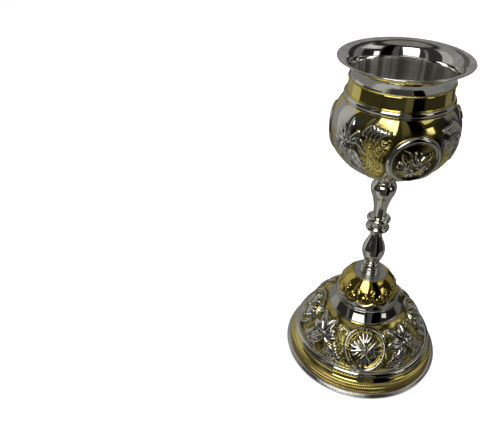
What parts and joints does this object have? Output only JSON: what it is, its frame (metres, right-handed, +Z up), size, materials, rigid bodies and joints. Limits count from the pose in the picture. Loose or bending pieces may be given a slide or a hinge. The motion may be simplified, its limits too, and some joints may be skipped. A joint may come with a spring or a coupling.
{
  "type": "communion chalice",
  "caption": "Tall communion chalice with a flared lining cup in an embossed bowl that unscrews from a turned stem on a domed foot.",
  "frame": {"origin": "centre of the foot's underside, on the surface it stands on", "axes": "+Z up along the stem's axis towards the cup's mouth; the front medallion of the foot faces -Y"},
  "size_m": [0.13, 0.13, 0.26],
  "materials": {
    "cup_silver": "polished silver plate",
    "bowl_relief": "embossed, gold plate with silver raised work",
    "seam_gold": "twisted gold wire",
    "rosette_gold": "granulated gold",
    "stem_silver": "turned and polished silver plate",
    "disc_satin": "satin silver, turned",
    "bell_gold": "polished gold plate",
    "foot_silver": "polished silver plate",
    "dome_relief": "embossed, stippled gold ground with silver raised work",
    "rope_gold": "twisted gold wire, darkened in the grooves",
    "clamp_steel": "zinc plated steel"
  },
  "bodies": {
    "foot_and_stem": {"upper_baluster": "stem_silver", "knop_disc": "stem_silver", "knop_ring": "stem_silver", "lower_baluster": "stem_silver", "step_ring": "stem_silver", "cap_disc": "disc_satin", "foot_bell": "bell_gold", "milled_ring": "foot_silver", "cone_band": "foot_silver", "foot_dome": "dome_relief", "rope_wire": "rope_gold", "base_ring": "foot_silver", "tie_rod": "clamp_steel", "clamp_plate": "clamp_steel", "lock_washer": "clamp_steel", "foot_nut": "clamp_steel"},
    "seat": {"seat_washer": "clamp_steel"},
    "cup": {"cup_liner": "cup_silver", "bowl_shell": "bowl_relief", "seam_wire": "seam_gold", "stud_plate": "clamp_steel", "cup_stud": "clamp_steel", "petal_rosette": "rosette_gold"}
  },
  "joints": [
    {"name": "cup_lift", "type": "slide", "parent": "foot_and_stem", "child": "seat", "axis": [0, 0, 1], "range_m": [0, 0.0101]},
    {"name": "cup_turn", "type": "hinge", "parent": "seat", "child": "cup", "pos_m": [0, 0, 0.178], "axis": [0, 0, 1], "range_deg": [0, 2880]}
  ],
  "couplings": [
    {"joint": "cup_lift", "follows": "cup_turn", "m_per_rad": 0.00019894}
  ]
}
